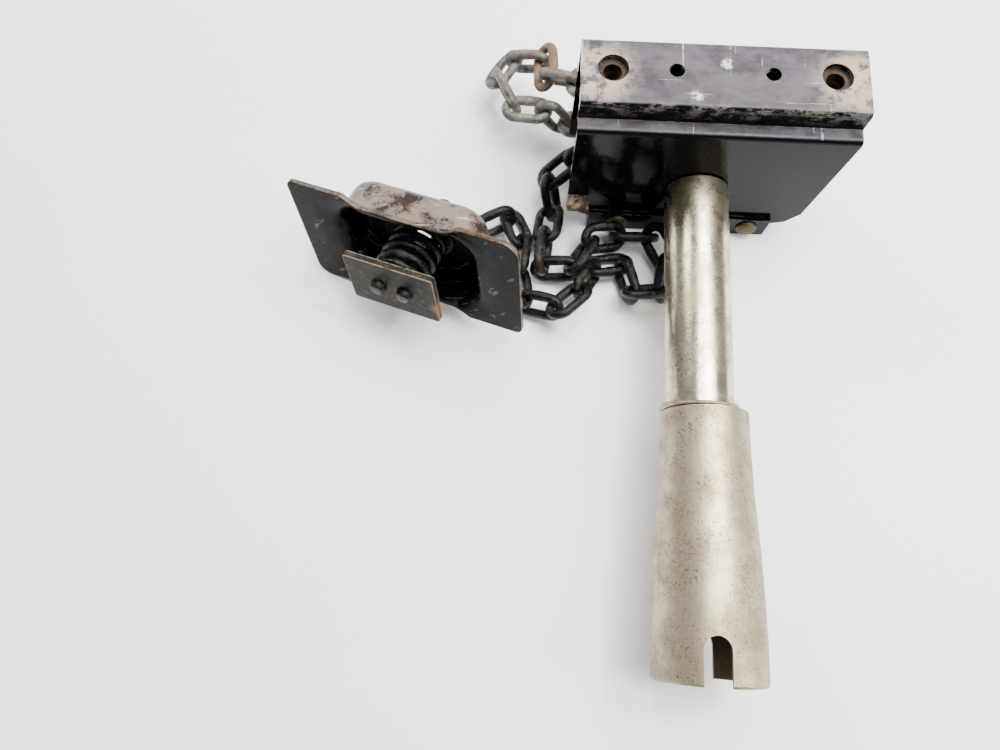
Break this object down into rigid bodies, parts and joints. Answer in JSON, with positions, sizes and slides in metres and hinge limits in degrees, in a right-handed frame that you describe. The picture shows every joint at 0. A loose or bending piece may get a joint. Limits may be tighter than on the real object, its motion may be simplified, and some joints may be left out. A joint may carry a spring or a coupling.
{
  "type": "spare wheel carrier winch",
  "caption": "Under-vehicle spare wheel winch: pressed bracket, plated drive tube with a flared slotted crank socket, load chain and a sprung wheel lift plate.",
  "frame": {"origin": "centre of the bolt hole row on the bracket's mounting face", "axes": "+Z out of the mounting face (up in the vehicle), +X across the bracket, -Y along the drive tube towards the crank socket"},
  "size_m": [0.2652, 0.3273, 0.098],
  "materials": {
    "black_paint": "gloss black paint, worn",
    "zinc_plate": "dull yellowish zinc plate",
    "bare_steel": "plain machined steel",
    "dull_socket": "weathered plated steel",
    "greased_chain": "black grease over steel",
    "dusty_chain": "dry pitted steel with road dust",
    "rust": "light orange rust",
    "rivet": "dull yellow passivated rivet",
    "bronze": "sintered bronze",
    "friction": "friction lining",
    "plate_steel": "black coating worn to brown"
  },
  "bodies": {
    "housing": {"bracket": "black_paint", "weld_nuts": "bare_steel", "back_cover": "black_paint", "cover_rivets": "rivet", "guide_tab": "black_paint", "front_bush": "bronze", "wave_spring": "bare_steel", "friction_disc": "friction", "rear_bush": "bronze", "gear_case": "black_paint", "ring_pins": "bare_steel", "case_cover": "black_paint", "cover_bush": "bronze", "case_screws": "bare_steel", "chain_stripper": "black_paint", "wheel_chain": "greased_chain", "tail_chain_upper": "dusty_chain", "rusty_link": "rust", "tail_chain_lower": "dusty_chain", "tail_pin": "bare_steel", "load_chain_a": "greased_chain", "load_chain_b": "greased_chain", "load_chain_c": "greased_chain"},
    "drive": {"drive_shaft": "bare_steel", "drive_tube": "zinc_plate", "weld_bead": "dull_socket", "crank_socket": "dull_socket", "shaft_clip": "bare_steel"},
    "planet": {"cycloid_disc": "bare_steel", "eccentric_bush": "bronze"},
    "wheel": {"chain_wheel": "bare_steel", "output_pins": "bare_steel"},
    "chain_run_1": {"load_chain_d": "greased_chain"},
    "chain_run_2": {"load_chain_e": "greased_chain"},
    "chain_run_3": {"load_chain_f": "greased_chain"},
    "last_link": {"load_chain_g": "greased_chain"},
    "stem": {"stem_staple": "greased_chain", "keeper_plate": "plate_steel"},
    "spring": {"lift_spring": "greased_chain"},
    "plate": {"lift_plate": "plate_steel", "spring_seat": "greased_chain"}
  },
  "joints": [
    {"name": "crank_turn", "type": "hinge", "parent": "housing", "child": "drive", "pos_m": [0, -0.1, -0.058], "axis": [0, 1, 0], "continuous": true},
    {"name": "planet_turn", "type": "hinge", "parent": "drive", "child": "planet", "pos_m": [0.0011, 0.0215, -0.058], "axis": [0, 1, 0], "continuous": true},
    {"name": "wheel_turn", "type": "hinge", "parent": "housing", "child": "wheel", "pos_m": [0, -0.006, -0.058], "axis": [0, 1, 0], "continuous": true},
    {"name": "chain_bend_1", "type": "hinge", "parent": "housing", "child": "chain_run_1", "pos_m": [-0.05715, -0.07557, -0.08286], "axis": [-0.3652, 0.446, 0.8172], "range_deg": [0, 15]},
    {"name": "chain_bend_2", "type": "hinge", "parent": "chain_run_1", "child": "chain_run_2", "pos_m": [-0.0883, -0.06502, -0.08592], "axis": [0.6958, 0.1964, 0.6909], "range_deg": [0, 20]},
    {"name": "chain_bend_3", "type": "hinge", "parent": "chain_run_2", "child": "chain_run_3", "pos_m": [-0.09848, -0.03126, -0.08844], "axis": [0.3803, -0.8469, 0.3718], "range_deg": [-12, 0]},
    {"name": "chain_bend_4", "type": "hinge", "parent": "chain_run_3", "child": "last_link", "pos_m": [-0.12673, -0.04277, -0.0744], "axis": [0.7299, -0.6479, 0.2178], "range_deg": [-10, 0]},
    {"name": "stem_swing", "type": "hinge", "parent": "last_link", "child": "stem", "pos_m": [-0.13044, -0.04329, -0.06352], "axis": [0.7299, -0.6479, 0.2178], "range_deg": [-10, 0]},
    {"name": "plate_swivel", "type": "hinge", "parent": "stem", "child": "spring", "pos_m": [-0.1428, -0.07305, -0.057], "axis": [-0.3318, -0.9217, 0.2011], "continuous": true},
    {"name": "plate_float", "type": "slide", "parent": "spring", "child": "plate", "axis": [-0.3318, -0.9217, 0.2011], "range_m": [0, 0.006], "stiffness_N_per_m": 2500, "springref_m": -0.004, "deforming": ["lift_spring"]}
  ],
  "couplings": [
    {"joint": "planet_turn", "follows": "crank_turn", "ratio": -1.0909},
    {"joint": "wheel_turn", "follows": "crank_turn", "ratio": -0.090909}
  ]
}
